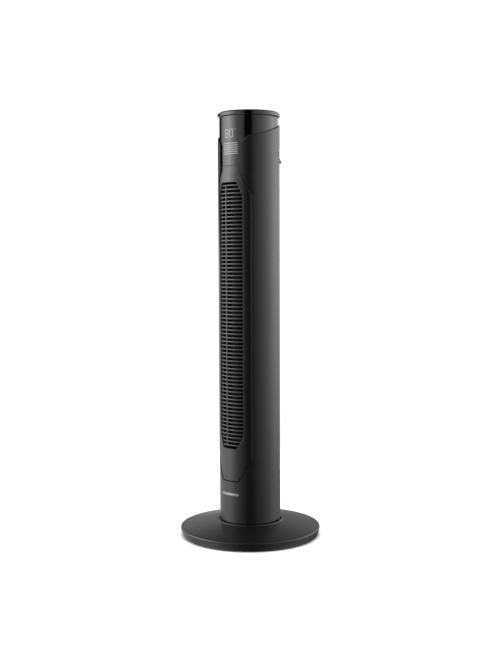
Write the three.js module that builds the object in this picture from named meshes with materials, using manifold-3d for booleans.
// Tower fan on a round base, in millimetres, +Z up.
// The origin is on the floor at the centre of the base, and the fan blows towards -Y.
// An angle "around" the column is in degrees from the front (-Y) towards +X.
import * as THREE from 'three';
import { mergeVertices } from 'three/addons/utils/BufferGeometryUtils.js';
import Module from 'manifold-3d';

const wasm = await Module();
wasm.setup();

// ---------------------------------------------------------------- driving dimensions
const GAP = 0.3; // between pieces that touch
const RUN = 0.8; // between a moving piece and what it passes
const SEAM = 0.6; // between the edge of a cover and the edge of its window
const OVERLAP = 1; // how far a cutter runs past what it cuts

const BASE_RADIUS = 150;
const BASE_RIM_TOP = 19.2;
const BASE_RIM_DRAFT = 4.5; // the rim leans in by this much towards the floor
const BASE_WALL = 2.6;
const COLLAR_TOP = 34.4; // raised ring round the foot of the column
const COLLAR_WIDTH = 3.2;
const COLLAR_CLEARANCE = 2; // dark gap between the column and the collar
const DECK_TOP = 29.6; // sunken floor under the column
const FOOT_HEIGHT = 2;
const FOOT_RADIUS = 9;
const FOOT_COUNT = 5;
const FOOT_INSET = 26; // from the edge of the base to the middle of a foot
const BASE_PLATE_THICKNESS = 2;
const BALLAST_HEIGHT = 9;
const BALLAST_INNER = 72;
const BALLAST_INSET = 22;
const GLAND_WIDTH = 14;
const GLAND_HEIGHT = 9;
const GLAND_Z = 10.5;

const FAN_HEIGHT = 895; // to the top face of the cap
const COLUMN_RADIUS = 65;
const SHELL_WALL = 2.5;
const SHELL_BOTTOM = 32;
const SHELL_TOP_DROP = 28; // from the cap down to the shell's top edge, at the axis
const SHELL_TOP_SLOPE = 0.29; // that edge slants up to the back
const SHELL_CORNER_DROP = 59; // from the cap down to where the shell's front corners are cut back
const SHELL_CORNER_RISE = 18;
const SHELL_CORNER_ANGLE = 39;
const HEAD_RECESS = 3.4; // the head is this much slimmer than the shell, in radius
const HEAD_WALL = 2.2;
const HEAD_HEIGHT = 101.8;
const CAP_OVERHANG = 0.3;
const CAP_HEIGHT = 10;
const CAP_CHAMFER = 2.4;
const CAP_WALL = 2.4;

const BEZEL_RECESS = 1.1;
const BEZEL_WALL = 2.4;
const NECK_HALF_ANGLE = 25; // window of the shell beside the display
const WINDOW_HALF_ANGLE = 48.3; // window of the shell beside the outlet
const WINDOW_FOOT_ANGLE = 20;
const NECK_LENGTH = 15.2; // from the head's lower edge to where the window widens
const WINDOW_SHOULDER = 46; // height over which it widens
const WINDOW_LOW_SLANT = 46.5;
const WINDOW_BOTTOM = 123.5;

const OUTLET_HALF_ANGLE = 31;
const OUTLET_DROP = 34.2; // from the head's lower edge to the top of the outlet
const OUTLET_BOTTOM = 193;
const OUTLET_END_ANGLE = 19; // half width of the flat ends of the outlet
const OUTLET_CORNER_RISE = 29; // height of the slanted corners of the outlet
const BAR_PITCH = 8.15;
const BAR_HEIGHT = 2.3;
const BAR_RECESS = 1.8;
const BAR_DEPTH = 3;
const LOWEST_BAR = 4.2; // from the bottom of the outlet
const RIB_ANGLE = -7.3;
const RIB_WIDTH = 1.8;
const RIB_DEPTH = 2;

const REAR_HALF_ANGLE = 56; // cover at the back, measured from +Y
const REAR_BOTTOM = 131;
const REAR_DROP = 64; // from the cap down to the top of the rear cover
const REAR_RECESS = 0.4;
const REAR_WALL = 2.2;
const REAR_SLAT_PITCH = 15;
const REAR_SLAT_HEIGHT = 6;
const REAR_SLAT_MARGIN = 25;
const REAR_FRAME_ANGLE = 5;

const GRIP_DROP = 29.5; // from the top of the rear cover to the flat of the hood
const GRIP_HEIGHT = 25.5; // finger room under the hood
const GRIP_HALF_WIDTH = 34;
const GRIP_DEPTH = 24;
const GRIP_WALL = 2;
const HOOD_RISE = 10;
const HOOD_REACH = 4.5;
const HOOD_HALF_ANGLE = 53;

const LATCH_ANGLE = 114;
const LATCH_INSETS = [8.8, 12.5]; // from the lower and the upper edge of the rear cover
const LATCH_SLOT = [4, 10];
const LATCH_TAB = [3, 4.6];

const WHEEL_RADIUS = 42;
const WHEEL_CLEARANCE = 3.5; // between the wheel and the air walls
const WHEEL_PAST_OUTLET = 11; // the wheel runs this far below the outlet
const WHEEL_SHORT_OF_TOP = 4;
const BLADE_COUNT = 16;
const BLADE_DEPTH = 9;
const BLADE_THICKNESS = 1.3;
const WHEEL_DISC = 2.4;
const WHEEL_RINGS = 2;
const AXLE_RADIUS = 4;
const HUB_RADIUS = 9;

const MOTOR_RADIUS = 38;
const MOTOR_HEIGHT = 52;
const MOTOR_FLANGE = 9;
const BULKHEAD = 3;
const BELOW_WHEEL = 13; // from the lower bulkhead to the wheel
const ABOVE_WHEEL = 7;

const TURNTABLE_BOTTOM = 40;
const TURNTABLE_THICKNESS = 4;
const TURNTABLE_RIM = 14;
const POST_RADIUS = 13;
const POST_BORE = 9;
const NUT_WIDTH = 7;
const NUT_HEIGHT = 5;
const GEAR_MODULE = 1.5;
const GEAR_TEETH = 42;
const PINION_TEETH = 14;
const GEAR_HEIGHT = 6;
const PINION_SHAFT = 3;
const SWING_MOTOR_RADIUS = 15;
const SWING_MOTOR_HEIGHT = 19;
const SWING_MOTOR_OFFSET = 2.5; // its shaft is off the middle of its can
const SLIDE_RING_WIDTH = 5;

const BUTTON_RADIUS = 6.3;
const BUTTON_CIRCLE = 38;
const BUTTON_STEP = 28;
const BUTTON_PROUD = 1;
const BUTTON_FLANGE = 1.2;
const BUTTON_TRAVEL = 1.2;
const SWITCH_HEIGHT = 2;
const BOARD_THICKNESS = 1.6;

const SCREW_RADIUS = 3.4;
const SCREW_HEAD = 1.8;

const BADGE_HALF_WIDTH = 24;
const BADGE_HEIGHT = 5.4;
const BADGE_DROP = 26.5; // from the bottom of the front window to the middle of the badge

// ---------------------------------------------------------------- sizes that follow
const capBottom = FAN_HEIGHT - CAP_HEIGHT;
const capRadius = COLUMN_RADIUS + CAP_OVERHANG;
const headBottom = capBottom - HEAD_HEIGHT;
const headRadius = COLUMN_RADIUS - HEAD_RECESS;
const headInner = headRadius - HEAD_WALL;
const shellInner = COLUMN_RADIUS - SHELL_WALL;
const bezelRadius = COLUMN_RADIUS - BEZEL_RECESS;
const bezelInner = bezelRadius - BEZEL_WALL;
const outletTop = headBottom - OUTLET_DROP;
const outletMiddle = (outletTop + OUTLET_BOTTOM) / 2;
const barOuter = COLUMN_RADIUS - BAR_RECESS;
const barInner = barOuter - BAR_DEPTH;
const rearTop = capBottom - REAR_DROP;
const rearRadius = COLUMN_RADIUS - REAR_RECESS;
const rearInner = rearRadius - REAR_WALL;
const gripTop = rearTop - GRIP_DROP;
const gripBottom = gripTop - GRIP_HEIGHT;
const gripMiddle = (gripTop + gripBottom) / 2;
const wheelBottom = OUTLET_BOTTOM - WHEEL_PAST_OUTLET;
const wheelTop = outletTop - WHEEL_SHORT_OF_TOP;
const lowBulkheadTop = wheelBottom - BELOW_WHEEL;
const highBulkheadBottom = wheelTop + ABOVE_WHEEL;
const deckBottom = DECK_TOP - BASE_WALL;

// ---------------------------------------------------------------- finishes
const finishes = {
  satin: { color: 0x1b1b1d, roughness: 0.42, metalness: 0 },
  gloss: { color: 0x101012, roughness: 0.16, metalness: 0 },
  rubber: { color: 0x141414, roughness: 0.9, metalness: 0 },
  iron: { color: 0x4a4b4d, roughness: 0.7, metalness: 0.6 },
  steel: { color: 0xb4b6b8, roughness: 0.35, metalness: 1 },
  nylon: { color: 0xe4e2da, roughness: 0.5, metalness: 0 },
  board: { color: 0x1f5a35, roughness: 0.55, metalness: 0 },
  badge: { color: 0xc9cacc, roughness: 0.3, metalness: 0.8 },
};

const fan = new THREE.Group();

function place(name, geometry, finish) {
  const mesh = new THREE.Mesh(geometry, new THREE.MeshStandardMaterial(finishes[finish]));
  mesh.name = name;
  fan.add(mesh);
  return mesh;
}

// ---------------------------------------------------------------- solids
const radians = THREE.MathUtils.degToRad;

function around(radius, degrees) {
  return [radius * Math.sin(radians(degrees)), -radius * Math.cos(radians(degrees))];
}

function toSolid(geometry) {
  const bare = geometry.clone();
  bare.deleteAttribute('normal');
  bare.deleteAttribute('uv');
  const merged = mergeVertices(bare, 1e-4);
  const corners = merged.index.array;
  const kept = [];
  for (let i = 0; i < corners.length; i += 3) {
    const [a, b, c] = corners.slice(i, i + 3);
    if (a !== b && b !== c && c !== a) {
      kept.push(a, b, c);
    }
  }
  const vertProperties = new Float32Array(merged.attributes.position.array);
  return new wasm.Manifold(new wasm.Mesh({ numProp: 3, vertProperties, triVerts: new Uint32Array(kept) }));
}

function toGeometry(solid) {
  const { vertProperties, triVerts } = solid.getMesh();
  const geometry = new THREE.BufferGeometry();
  geometry.setAttribute('position', new THREE.BufferAttribute(vertProperties, 3));
  geometry.setIndex(new THREE.BufferAttribute(triVerts, 1));
  return geometry;
}

// A closed profile of [radius, z] points, anticlockwise, turned about the Z axis.
function revolve(profile, steps) {
  const points = profile.map(([radius, z]) => new THREE.Vector2(radius, z));
  const onAxis = points[0].x === 0 && points.at(-1).x === 0;
  if (!onAxis) {
    points.push(points[0].clone());
  }
  return toSolid(new THREE.LatheGeometry(points, steps).rotateX(Math.PI / 2));
}

function ring(inner, outer, bottom, top, steps) {
  return revolve([[inner, bottom], [outer, bottom], [outer, top], [inner, top]], steps);
}

function disc(radius, bottom, top, steps) {
  return revolve([[0, bottom], [radius, bottom], [radius, top], [0, top]], steps);
}

// A flat outline of [x, y] points raised from one height to another.
function raise(outline, bottom, top) {
  const shape = new THREE.Shape(outline.map(([x, y]) => new THREE.Vector2(x, y)));
  const geometry = new THREE.ExtrudeGeometry(shape, { depth: top - bottom, bevelEnabled: false });
  return toSolid(geometry.translate(0, 0, bottom));
}

// An outline of [x, z] points, seen from the front, run from one depth to another.
function runBack(outline, front, back) {
  const shape = new THREE.Shape(outline.map(([x, z]) => new THREE.Vector2(x, z)));
  const geometry = new THREE.ExtrudeGeometry(shape, { depth: back - front, bevelEnabled: false });
  return toSolid(geometry.rotateX(Math.PI / 2).translate(0, back, 0));
}

function box(width, depth, height, x, y, z) {
  return toSolid(new THREE.BoxGeometry(width, depth, height).translate(x, y, z));
}

// A curved wall between two angles around the column.
function curvedWall(inner, outer, bottom, top, from, to, steps) {
  const angles = Array.from({ length: steps + 1 }, (_, i) => from + ((to - from) * i) / steps);
  const outside = angles.map((angle) => around(outer, angle));
  const inside = angles.map((angle) => around(inner, angle)).reverse();
  return raise([...outside, ...inside], bottom, top);
}

// A block turned to face outwards at an angle around the column.
function blockAround(width, depth, height, radius, degrees, z) {
  const block = new THREE.BoxGeometry(width, depth, height).translate(0, -radius, z);
  return toSolid(block.rotateZ(radians(degrees)));
}

// Corners as [x, z, radius]; each one is rounded with an arc of three steps.
function rounded(corners) {
  const steps = 3;
  const outline = [];
  corners.forEach(([x, z, radius], i) => {
    const corner = new THREE.Vector2(x, z);
    const before = corners.at(i - 1);
    const after = corners[(i + 1) % corners.length];
    const back = new THREE.Vector2(before[0], before[1]).sub(corner).normalize();
    const ahead = new THREE.Vector2(after[0], after[1]).sub(corner).normalize();
    if (radius === 0) {
      outline.push([x, z]);
      return;
    }
    const half = Math.acos(back.dot(ahead)) / 2;
    const centre = back.clone().add(ahead).setLength(radius / Math.sin(half)).add(corner);
    const start = back.clone().multiplyScalar(radius / Math.tan(half)).add(corner).sub(centre);
    const turn = Math.sign(back.cross(ahead)) * (2 * half - Math.PI);
    for (let step = 0; step <= steps; step += 1) {
      const point = start.clone().rotateAround(new THREE.Vector2(), (turn * step) / steps).add(centre);
      outline.push([point.x, point.y]);
    }
  });
  return outline;
}

function mirrored(half) {
  const other = half.map(([x, z, radius]) => [-x, z, radius]).reverse();
  return rounded([...half, ...other]);
}

function total(solids) {
  return solids.reduce((sum, solid) => sum.add(solid));
}

// ---------------------------------------------------------------- outlines seen from the front
const ABOVE = FAN_HEIGHT + 20;

// The window in the front of the shell, made smaller by a margin for what sits in it.
function frontWindow(margin, top) {
  const across = (degrees) => COLUMN_RADIUS * Math.sin(radians(degrees)) - margin;
  const neckCorner = headBottom - NECK_LENGTH - margin / 2;
  const cornerLow = capBottom - SHELL_CORNER_DROP;
  return mirrored([
    [across(WINDOW_FOOT_ANGLE), WINDOW_BOTTOM + margin, 5],
    [across(WINDOW_HALF_ANGLE), WINDOW_BOTTOM + WINDOW_LOW_SLANT, 10],
    [across(WINDOW_HALF_ANGLE), neckCorner - WINDOW_SHOULDER, 14],
    [across(NECK_HALF_ANGLE), neckCorner, 14],
    [across(NECK_HALF_ANGLE), cornerLow, 6],
    [across(SHELL_CORNER_ANGLE), cornerLow + SHELL_CORNER_RISE, 0],
    [across(SHELL_CORNER_ANGLE), top, 0],
  ]);
}

// The outlet in the bezel, made smaller by a margin.
function outlet(margin) {
  const across = (degrees) => bezelRadius * Math.sin(radians(degrees)) - margin;
  return mirrored([
    [across(OUTLET_END_ANGLE), OUTLET_BOTTOM + margin, 6],
    [across(OUTLET_HALF_ANGLE), OUTLET_BOTTOM + OUTLET_CORNER_RISE, 10],
    [across(OUTLET_HALF_ANGLE), outletTop - OUTLET_CORNER_RISE, 10],
    [across(OUTLET_END_ANGLE), outletTop - margin, 6],
  ]);
}

// ---------------------------------------------------------------- base
const BASE_STEPS = 48;
const collarInner = COLUMN_RADIUS + COLLAR_CLEARANCE;
const collarOuter = collarInner + COLLAR_WIDTH;
const rimFoot = BASE_RADIUS - BASE_RIM_DRAFT;
const plateBottom = FOOT_HEIGHT - 0.8;
const plateTop = plateBottom + BASE_PLATE_THICKNESS;

function baseShell() {
  const domeStep = (share) => {
    const radius = collarOuter + 1.5 + (BASE_RADIUS - 4 - collarOuter - 1.5) * share;
    const fall = COLLAR_TOP - 1.6 - (BASE_RIM_TOP + 0.9);
    return [radius, COLLAR_TOP - 1.6 - fall * Math.pow(share, 1.15)];
  };
  const dome = [1, 0.67, 0.33, 0].map(domeStep);
  const under = dome.map(([radius, z]) => [radius - BASE_WALL / 2, z - BASE_WALL]).reverse();
  const shell = revolve([
    [rimFoot - BASE_WALL, plateBottom],
    [rimFoot, plateBottom],
    [BASE_RADIUS, BASE_RIM_TOP - 1.4],
    [BASE_RADIUS - 1.2, BASE_RIM_TOP],
    ...dome,
    [collarOuter, COLLAR_TOP],
    [collarInner, COLLAR_TOP],
    [collarInner, DECK_TOP],
    [POST_RADIUS + GAP, DECK_TOP],
    [POST_RADIUS + GAP, deckBottom],
    [collarInner, deckBottom],
    ...under,
    [BASE_RADIUS - BASE_WALL - 1.2, BASE_RIM_TOP - BASE_WALL],
  ], BASE_STEPS);
  const glandHole = box(GLAND_WIDTH + 2 * GAP, 20, GLAND_HEIGHT + 2 * GAP, 0, rimFoot, GLAND_Z);
  return shell.subtract(glandHole);
}

place('base_shell', toGeometry(baseShell()), 'satin');

const plateRadius = rimFoot - BASE_WALL - GAP - 0.4;
const basePlate = disc(plateRadius, plateBottom, plateTop, BASE_STEPS);
place('base_plate', toGeometry(basePlate), 'satin');

const ballastBottom = plateTop + GAP;
const ballast = ring(BALLAST_INNER, BASE_RADIUS - BALLAST_INSET, ballastBottom, ballastBottom + BALLAST_HEIGHT, 36);
place('base_weight', toGeometry(ballast), 'iron');

for (let i = 0; i < FOOT_COUNT; i += 1) {
  const [x, y] = around(BASE_RADIUS - FOOT_INSET, (360 / FOOT_COUNT) * i);
  const foot = disc(FOOT_RADIUS, 0, plateBottom - GAP, 20).translate(x, y, 0);
  place(`rubber_foot_${i + 1}`, toGeometry(foot), 'rubber');
}

for (let i = 0; i < 4; i += 1) {
  const [x, y] = around(BALLAST_INNER - 8, 45 + 90 * i);
  const head = disc(SCREW_RADIUS, plateTop + GAP, plateTop + GAP + SCREW_HEAD, 12);
  const boss = disc(SCREW_RADIUS * 0.6, plateTop + GAP, deckBottom - GAP, 12);
  place(`base_screw_${i + 1}`, toGeometry(head.add(boss).translate(x, y, 0)), 'steel');
}

// The gland where a mains lead would enter, flush with the back of the rim.
function cordGland() {
  const block = box(GLAND_WIDTH, 10, GLAND_HEIGHT, 0, rimFoot - 3, GLAND_Z);
  const flange = box(GLAND_WIDTH + 4, 2, GLAND_HEIGHT + 2, 0, rimFoot - BASE_WALL - 4.4, GLAND_Z);
  const bore = disc(3.6, -20, 20, 16).rotate([90, 0, 0]).translate(0, rimFoot, GLAND_Z);
  return block.add(flange).subtract(bore);
}
place('cord_gland', toGeometry(cordGland()), 'rubber');

// ---------------------------------------------------------------- swivel
const turntableTop = TURNTABLE_BOTTOM + TURNTABLE_THICKNESS;
const postTop = turntableTop + 9;
const post = revolve([
  [POST_BORE, plateTop + GAP],
  [POST_RADIUS + 5, plateTop + GAP],
  [POST_RADIUS + 5, deckBottom - GAP],
  [POST_RADIUS, deckBottom - GAP],
  [POST_RADIUS, postTop],
  [POST_BORE, postTop],
], 32);
place('pivot_post', toGeometry(post), 'steel');

const nutBottom = turntableTop + RUN;
const nutBore = disc(POST_RADIUS + GAP, nutBottom - OVERLAP, nutBottom + NUT_HEIGHT + OVERLAP, 32);
const nut = disc(POST_RADIUS + NUT_WIDTH, nutBottom, nutBottom + NUT_HEIGHT, 6).subtract(nutBore);
place('retaining_nut', toGeometry(nut), 'steel');

const slideOuter = shellInner - 2.5;
const slideRing = ring(slideOuter - SLIDE_RING_WIDTH, slideOuter, DECK_TOP + GAP, TURNTABLE_BOTTOM - GAP, 36);
place('slide_ring', toGeometry(slideRing), 'nylon');

// Involute teeth, thinned so that the two wheels run freely.
function gearOutline(teeth) {
  const pitch = (GEAR_MODULE * teeth) / 2;
  const baseCircle = pitch * Math.cos(radians(20));
  const tip = pitch + 0.9 * GEAR_MODULE;
  const root = pitch - 1.25 * GEAR_MODULE;
  const unwound = (radius) => {
    const tangent = Math.sqrt(Math.max((radius / baseCircle) ** 2 - 1, 0));
    return tangent - Math.atan(tangent);
  };
  const halfThickness = Math.PI / (2 * teeth) - 0.16 / pitch;
  const flank = [root, pitch - 0.2 * GEAR_MODULE, tip];
  const outline = [];
  for (let tooth = 0; tooth < teeth; tooth += 1) {
    const middle = (2 * Math.PI * tooth) / teeth;
    const halfAt = (radius) => halfThickness + unwound(pitch) - unwound(Math.max(radius, baseCircle));
    const rising = flank.map((radius) => [radius, middle - halfAt(radius)]);
    const falling = flank.map((radius) => [radius, middle + halfAt(radius)]).reverse();
    outline.push(...rising, ...falling);
  }
  return outline.map(([radius, angle]) => [radius * Math.cos(angle), radius * Math.sin(angle)]);
}

const gearBottom = DECK_TOP + GAP;
const gearTop = gearBottom + GEAR_HEIGHT;
const gearBore = disc(POST_RADIUS + GAP, gearBottom - OVERLAP, gearTop + OVERLAP, 32);
const gear = raise(gearOutline(GEAR_TEETH), gearBottom, gearTop).subtract(gearBore);
place('swing_gear', toGeometry(gear), 'nylon');

// The pinion's tooth gap faces the tooth of the gear on the line of centres, towards +Y.
const pinionReach = (GEAR_MODULE * (GEAR_TEETH + PINION_TEETH)) / 2;
const gearPhase = 90 % (360 / GEAR_TEETH);
const pinionPhase = 270 + 180 / PINION_TEETH - (gearPhase * GEAR_TEETH) / PINION_TEETH;
const pinionShaft = disc(PINION_SHAFT, gearBottom + RUN, turntableTop + 6, 16);
const pinion = raise(gearOutline(PINION_TEETH), gearBottom + RUN, gearTop - GAP)
  .add(pinionShaft)
  .rotate([0, 0, pinionPhase])
  .translate(0, pinionReach, 0);
place('swing_pinion', toGeometry(pinion), 'nylon');


function turntable() {
  const outer = shellInner - GAP;
  const dish = revolve([
    [POST_RADIUS + RUN, TURNTABLE_BOTTOM],
    [outer, TURNTABLE_BOTTOM],
    [outer, turntableTop + TURNTABLE_RIM],
    [outer - 3, turntableTop + TURNTABLE_RIM],
    [outer - 3, turntableTop],
    [POST_RADIUS + RUN, turntableTop],
  ], 64);
  const shaftHole = disc(PINION_SHAFT + RUN, TURNTABLE_BOTTOM - OVERLAP, turntableTop + OVERLAP, 16);
  return dish.subtract(shaftHole.translate(0, pinionReach, 0));
}
place('turntable', toGeometry(turntable()), 'satin');

// The swing motor's can is set in from its shaft, as on a flat geared motor.
const swingMotorBottom = turntableTop + GAP;

function swingMotor() {
  const can = disc(SWING_MOTOR_RADIUS, swingMotorBottom, swingMotorBottom + SWING_MOTOR_HEIGHT, 32);
  const socket = disc(PINION_SHAFT + RUN, swingMotorBottom - OVERLAP, turntableTop + 7, 16);
  return can.translate(0, pinionReach - SWING_MOTOR_OFFSET, 0).subtract(socket.translate(0, pinionReach, 0));
}
place('swing_motor', toGeometry(swingMotor()), 'steel');

// ---------------------------------------------------------------- column shell and covers
function slantedCut() {
  const reach = 2 * COLUMN_RADIUS;
  const heightAt = (y) => capBottom - SHELL_TOP_DROP + SHELL_TOP_SLOPE * y;
  const side = [[-reach, heightAt(-reach)], [reach, heightAt(reach)], [reach, ABOVE], [-reach, ABOVE]];
  const shape = new THREE.Shape(side.map(([y, z]) => new THREE.Vector2(y, z)));
  const slab = new THREE.ExtrudeGeometry(shape, { depth: 2 * reach, bevelEnabled: false });
  slab.rotateX(Math.PI / 2).rotateZ(Math.PI / 2);
  return toSolid(slab.translate(-reach, 0, 0));
}

function rearWindow(margin) {
  const half = REAR_HALF_ANGLE - margin / radians(COLUMN_RADIUS);
  const steps = 12;
  const outer = COLUMN_RADIUS + 10;
  return curvedWall(40, outer, REAR_BOTTOM + margin, rearTop - margin, 180 - half, 180 + half, steps);
}

const latchHeights = [REAR_BOTTOM + LATCH_INSETS[0], rearTop - LATCH_INSETS[1]];

function outerShell() {
  const tube = ring(shellInner, COLUMN_RADIUS, SHELL_BOTTOM, capBottom, 64);
  const front = runBack(frontWindow(0, ABOVE), -2 * COLUMN_RADIUS, 0);
  let shell = tube.subtract(slantedCut()).subtract(front).subtract(rearWindow(0));
  for (const side of [-1, 1]) {
    for (const height of latchHeights) {
      const [width, tall] = LATCH_SLOT;
      shell = shell.subtract(blockAround(width, 12, tall, COLUMN_RADIUS, side * LATCH_ANGLE, height));
    }
  }
  return shell;
}
place('outer_shell', toGeometry(outerShell()), 'satin');

// The bezel is recessed beside the display and comes out to the shell beside the outlet.
function frontBezel() {
  const top = headBottom - GAP;
  const recessStart = outletTop + 5;
  const recessEnd = headBottom - 5;
  const wall = revolve([
    [bezelInner, WINDOW_BOTTOM],
    [bezelRadius, WINDOW_BOTTOM],
    [bezelRadius, recessStart],
    [headRadius, recessEnd],
    [headRadius, top],
    [headInner, top],
    [headInner, recessEnd],
    [bezelInner, recessStart],
  ], 64);
  const outline = runBack(frontWindow(SEAM, ABOVE), -2 * COLUMN_RADIUS, 0);
  return wall.intersect(outline).subtract(runBack(outlet(0), -2 * COLUMN_RADIUS, 0));
}
place('front_bezel', toGeometry(frontBezel()), 'satin');

const BAR_SPAN = OUTLET_HALF_ANGLE + 5;
const BAR_STEPS = 4;

function frontGrille() {
  const bars = [];
  for (let bottom = OUTLET_BOTTOM + LOWEST_BAR; bottom < outletTop - BAR_HEIGHT; bottom += BAR_PITCH) {
    bars.push(curvedWall(barInner, barOuter, bottom, bottom + BAR_HEIGHT, -BAR_SPAN, BAR_SPAN, BAR_STEPS));
  }
  const flangeOuter = bezelInner - GAP;
  const sheet = curvedWall(
    barInner - 1, flangeOuter, OUTLET_BOTTOM - 6, outletTop + 4, -BAR_SPAN, BAR_SPAN, BAR_STEPS);
  const flange = sheet.subtract(runBack(outlet(3), -2 * COLUMN_RADIUS, 0));
  const inOutlet = runBack(outlet(GAP), -2 * COLUMN_RADIUS, 0);
  return total(bars).intersect(inOutlet).add(flange);
}
place('front_grille', toGeometry(frontGrille()), 'satin');

// An upright rib stiffens the bars from behind.
const barBack = barInner * Math.cos(radians(BAR_SPAN / BAR_STEPS));
const grilleRib = blockAround(RIB_WIDTH, RIB_DEPTH, outletTop - OUTLET_BOTTOM - 8,
  barBack - GAP - RIB_DEPTH / 2, RIB_ANGLE, outletMiddle);
place('grille_rib', toGeometry(grilleRib), 'satin');

// The band is a full ring under the cap; at the back it stops above the rear cover.

function headBand() {
  const band = ring(headInner, headRadius, headBottom, capBottom - GAP, 64);
  const notchTop = rearTop + 2;
  const notch = 2 * (notchTop - headBottom);
  return band.subtract(box(3 * headRadius, 2 * headRadius, notch, 0, headRadius + 10, headBottom));
}
place('head_band', toGeometry(headBand()), 'gloss');

// ---------------------------------------------------------------- rear cover and carrying grip
const REAR_STEPS = 5;

const rearHalf = REAR_HALF_ANGLE - SEAM / radians(COLUMN_RADIUS);
const slatLow = REAR_BOTTOM + REAR_SLAT_MARGIN;
const slatCount = Math.floor((gripBottom - REAR_SLAT_MARGIN - slatLow) / REAR_SLAT_PITCH) + 1;
const slatSpan = REAR_SLAT_PITCH * (slatCount - 1) + REAR_SLAT_HEIGHT;

function rearCover() {
  const wall = (bottom, top, spread) =>
    curvedWall(rearInner, rearRadius, bottom, top, 180 - spread, 180 + spread, REAR_STEPS);
  const slot = REAR_SLAT_PITCH - REAR_SLAT_HEIGHT;
  const plate = wall(REAR_BOTTOM + SEAM, rearTop - SEAM, rearHalf);
  const openHalf = rearHalf - REAR_FRAME_ANGLE;
  const opening = curvedWall(rearInner - 9, rearRadius + 9, slatLow - slot, slatLow + slatSpan + slot,
    180 - openHalf, 180 + openHalf, REAR_STEPS);
  const slats = [];
  for (let i = 0; i < slatCount; i += 1) {
    const bottom = slatLow + REAR_SLAT_PITCH * i;
    slats.push(wall(bottom, bottom + REAR_SLAT_HEIGHT, openHalf + 1));
  }
  const gripWindow = box(2 * GRIP_HALF_WIDTH, 40, gripTop - gripBottom, 0, rearRadius,
    gripMiddle);
  return plate.subtract(opening).subtract(gripWindow).add(total(slats));
}
place('rear_cover', toGeometry(rearCover()), 'satin');

// Three upright ribs stiffen the slats from inside.
const slatBack = rearInner * Math.cos(radians(rearHalf / REAR_STEPS));
[-1, 0, 1].forEach((side, index) => {
  const rib = blockAround(RIB_WIDTH, RIB_DEPTH, slatSpan + 4, slatBack - GAP - RIB_DEPTH / 2,
    180 + side * (rearHalf / 2), slatLow + slatSpan / 2);
  place(`rear_rib_${index + 1}`, toGeometry(rib), 'satin');
});

// The cup that the fingers go into, open to the back and cut to the curve of the cover.
const gripFront = rearInner - GRIP_DEPTH;

function gripCup() {
  const height = gripTop - gripBottom;
  const middle = gripMiddle;
  const outside = box(2 * (GRIP_HALF_WIDTH + GRIP_WALL), 60, height + 2 * GRIP_WALL, 0,
    gripFront + 30, middle);
  const inside = box(2 * GRIP_HALF_WIDTH, 60, height, 0, gripFront + GRIP_WALL + 30, middle);
  const behindCover = curvedWall(5, rearInner - GAP, gripBottom - 9, gripTop + 9,
    180 - rearHalf, 180 + rearHalf, REAR_STEPS);
  return outside.intersect(behindCover).subtract(inside);
}
place('grip_cup', toGeometry(gripCup()), 'satin');

// The hood over the fingers: flat underneath, fading into the cover above.
function gripHood() {
  const inner = rearRadius + GAP;
  const wedge = revolve([
    [inner, gripTop],
    [rearRadius + HOOD_REACH, gripTop],
    [rearRadius + HOOD_REACH, gripTop + 2],
    [inner + 0.8, gripTop + HOOD_RISE],
    [inner, gripTop + HOOD_RISE],
  ], 64);
  const sector = curvedWall(40, 90, gripTop - 5, gripTop + HOOD_RISE + 5,
    180 - HOOD_HALF_ANGLE, 180 + HOOD_HALF_ANGLE, 12);
  return wedge.intersect(sector);
}
place('grip_hood', toGeometry(gripHood()), 'satin');

let latchNumber = 0;
for (const side of [-1, 1]) {
  for (const height of latchHeights) {
    latchNumber += 1;
    const [width, tall] = LATCH_TAB;
    const tab = blockAround(width, SHELL_WALL + 2, tall, COLUMN_RADIUS - 1 - SHELL_WALL / 2,
      side * LATCH_ANGLE, height);
    place(`rear_latch_${latchNumber}`, toGeometry(tab), 'satin');
  }
}

// ---------------------------------------------------------------- top
const buttonNames = ['timer', 'mode', 'power', 'speed', 'swing'];
const buttonAngle = (index) => (index - (buttonNames.length - 1) / 2) * BUTTON_STEP;
const capUnder = FAN_HEIGHT - CAP_WALL;

function topCap() {
  const skirtOuter = headInner - GAP;
  let cap = revolve([
    [0, capUnder],
    [skirtOuter - 2, capUnder],
    [skirtOuter - 2, capBottom - 8],
    [skirtOuter, capBottom - 8],
    [skirtOuter, capBottom],
    [capRadius, capBottom],
    [capRadius, FAN_HEIGHT - CAP_CHAMFER],
    [capRadius - CAP_CHAMFER, FAN_HEIGHT],
    [0, FAN_HEIGHT],
  ], 64);
  buttonNames.forEach((_, index) => {
    const [x, y] = around(BUTTON_CIRCLE, buttonAngle(index));
    const hole = disc(BUTTON_RADIUS + 0.4, capUnder - OVERLAP, FAN_HEIGHT + OVERLAP, 20);
    cap = cap.subtract(hole.translate(x, y, 0));
  });
  return cap;
}
place('top_cap', toGeometry(topCap()), 'gloss');

const buttonBottom = capUnder - GAP - BUTTON_FLANGE;
buttonNames.forEach((name, index) => {
  const [x, y] = around(BUTTON_CIRCLE, buttonAngle(index));
  const stem = disc(BUTTON_RADIUS, buttonBottom, FAN_HEIGHT + BUTTON_PROUD, 20);
  const flange = disc(BUTTON_RADIUS + 1.6, buttonBottom, capUnder - GAP, 20);
  place(`${name}_button`, toGeometry(stem.add(flange).translate(x, y, 0)), 'gloss');
});

// The board under the buttons carries one push switch for each.
const switchTop = buttonBottom - BUTTON_TRAVEL - GAP;
const buttonBoardTop = switchTop - SWITCH_HEIGHT;

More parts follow.
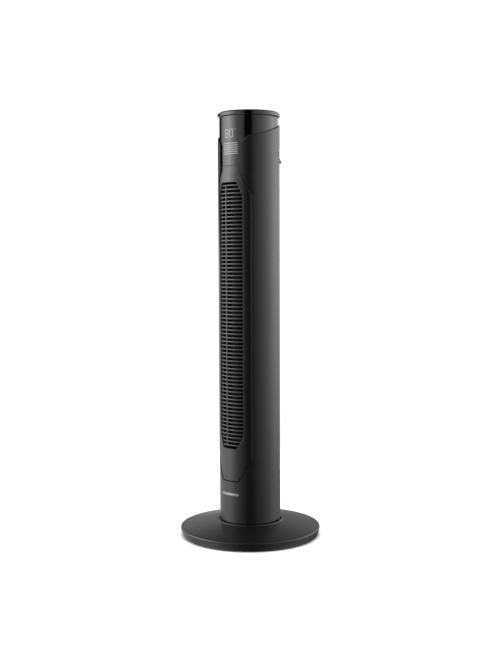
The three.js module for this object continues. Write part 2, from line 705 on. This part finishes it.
function buttonBoard() {
  const plate = curvedWall(26, 52, buttonBoardTop - BOARD_THICKNESS, buttonBoardTop, -75, 75, 10);
  const switches = buttonNames.map((_, index) => {
    const [x, y] = around(BUTTON_CIRCLE, buttonAngle(index));
    return box(6, 6, SWITCH_HEIGHT + GAP, x, y, switchTop - (SWITCH_HEIGHT + GAP) / 2);
  });
  return plate.add(total(switches));
}
place('button_board', toGeometry(buttonBoard()), 'board');

const displayBoard = box(38, BOARD_THICKNESS, 66, 0, -(headInner - 6), headBottom + 49);
place('display_board', toGeometry(displayBoard), 'board');
const mainBoard = box(70, BOARD_THICKNESS, 70, 0, 14, headBottom + 55);
place('main_board', toGeometry(mainBoard), 'board');

// ---------------------------------------------------------------- blower
const bulkheadRadius = barInner - 3.2;

function bulkhead(bottom, hole) {
  return ring(hole, bulkheadRadius, bottom, bottom + BULKHEAD, 36);
}
place('lower_bulkhead', toGeometry(bulkhead(lowBulkheadTop - BULKHEAD, HUB_RADIUS + 3)), 'satin');
place('upper_bulkhead', toGeometry(bulkhead(highBulkheadBottom, HUB_RADIUS + GAP)), 'satin');

const motorTop = lowBulkheadTop - BULKHEAD - GAP;
const motorBore = disc(AXLE_RADIUS + RUN, motorTop - MOTOR_HEIGHT + 8, motorTop + 20, 20);
const motor = revolve([
  [0, motorTop - MOTOR_HEIGHT],
  [MOTOR_RADIUS - 4, motorTop - MOTOR_HEIGHT],
  [MOTOR_RADIUS, motorTop - MOTOR_HEIGHT + 8],
  [MOTOR_RADIUS, motorTop - 6],
  [MOTOR_RADIUS + MOTOR_FLANGE, motorTop - 4],
  [MOTOR_RADIUS + MOTOR_FLANGE, motorTop],
  [0, motorTop],
], 40).subtract(motorBore);
place('blower_motor', toGeometry(motor), 'steel');

const shaftTop = wheelBottom + 12;
const shaft = disc(AXLE_RADIUS, motorTop - MOTOR_HEIGHT + 10, shaftTop, 20);
place('motor_shaft', toGeometry(shaft), 'steel');

// The hub grips the motor shaft and carries the wheel's lower disc.
const hubBottom = lowBulkheadTop + 2;
const hub = revolve([
  [AXLE_RADIUS + GAP, hubBottom],
  [HUB_RADIUS, hubBottom],
  [HUB_RADIUS, wheelBottom - GAP],
  [HUB_RADIUS - 2, wheelBottom - GAP],
  [HUB_RADIUS - 2, shaftTop],
  [AXLE_RADIUS + GAP, shaftTop],
], 24);
place('wheel_hub', toGeometry(hub), 'rubber');

const WHEEL_STEPS = 32;

function blade(angle) {
  const steps = 2;
  const outline = [];
  for (const side of [-1, 1]) {
    const run = [];
    for (let i = 0; i <= steps; i += 1) {
      const share = i / steps;
      const radius = WHEEL_RADIUS - 0.4 - BLADE_DEPTH * (1 - share);
      const lean = 14 * share * share + (side * BLADE_THICKNESS) / 2 / radians(radius);
      run.push(around(radius, angle + lean));
    }
    outline.push(...(side < 0 ? run : run.reverse()));
  }
  return raise(outline, wheelBottom + 1, wheelTop - 1);
}

function blowerWheel() {
  const blades = Array.from({ length: BLADE_COUNT }, (_, i) => blade((360 / BLADE_COUNT) * i));
  const lowDisc = ring(HUB_RADIUS - 2 + GAP, WHEEL_RADIUS, wheelBottom, wheelBottom + WHEEL_DISC, WHEEL_STEPS);
  const highDisc = ring(AXLE_RADIUS + GAP, WHEEL_RADIUS, wheelTop - WHEEL_DISC, wheelTop, WHEEL_STEPS);
  const rings = Array.from({ length: WHEEL_RINGS }, (_, i) => {
    const middle = wheelBottom + ((wheelTop - wheelBottom) * (i + 1)) / (WHEEL_RINGS + 1);
    return ring(WHEEL_RADIUS - BLADE_DEPTH - 3, WHEEL_RADIUS, middle - 1, middle + 1, WHEEL_STEPS);
  });
  return total([lowDisc, highDisc, ...rings, ...blades]);
}
place('blower_wheel', toGeometry(blowerWheel()), 'satin');

const axleTop = highBulkheadBottom + BULKHEAD + 8;
const axle = revolve([
  [0, wheelTop - WHEEL_DISC - 6],
  [AXLE_RADIUS, wheelTop - WHEEL_DISC - 6],
  [AXLE_RADIUS, axleTop],
  [0, axleTop],
], 20);
place('top_axle', toGeometry(axle), 'steel');

const bearingInner = AXLE_RADIUS + RUN;
const bearing = revolve([
  [bearingInner, highBulkheadBottom - 3],
  [HUB_RADIUS, highBulkheadBottom - 3],
  [HUB_RADIUS, highBulkheadBottom + BULKHEAD + GAP],
  [HUB_RADIUS + 4, highBulkheadBottom + BULKHEAD + GAP],
  [HUB_RADIUS + 4, highBulkheadBottom + BULKHEAD + 3],
  [bearingInner, highBulkheadBottom + BULKHEAD + 3],
], 24);
place('top_bearing', toGeometry(bearing), 'nylon');

// The air walls wind out from the wheel towards the outlet.
const airWallBottom = lowBulkheadTop + GAP;
const airWallTop = highBulkheadBottom - GAP;
const tongueEnd = barInner - 3;

function airWall(from, to, near, far) {
  const steps = 10;
  const wall = 2;
  const line = Array.from({ length: steps + 1 }, (_, i) => {
    const share = i / steps;
    return { angle: from + (to - from) * share, radius: near + (far - near) * share ** 1.6 };
  });
  const inside = line.map(({ angle, radius }) => around(radius, angle));
  const outside = line.map(({ angle, radius }) => around(radius + wall, angle)).reverse();
  return raise([...inside, ...outside], airWallBottom, airWallTop);
}
const nearWheel = WHEEL_RADIUS + WHEEL_CLEARANCE;
place('air_guide', toGeometry(airWall(-155, -32, nearWheel, tongueEnd - 2)), 'satin');
place('air_tongue', toGeometry(airWall(62, 33, nearWheel, tongueEnd - 2)), 'satin');

// ---------------------------------------------------------------- badge without a mark

function badge() {
  const badgeMiddle = WINDOW_BOTTOM - BADGE_DROP;
  const end = BADGE_HEIGHT / 2;
  const plate = ring(COLUMN_RADIUS + GAP, COLUMN_RADIUS + 1, badgeMiddle - end, badgeMiddle + end, 64);
  const outline = mirrored([
    [BADGE_HALF_WIDTH, badgeMiddle - end - 0.01, end],
    [BADGE_HALF_WIDTH, badgeMiddle + end + 0.01, end],
  ]);
  return plate.intersect(runBack(outline, -2 * COLUMN_RADIUS, 0));
}
place('badge', toGeometry(badge()), 'badge');

export default fan;
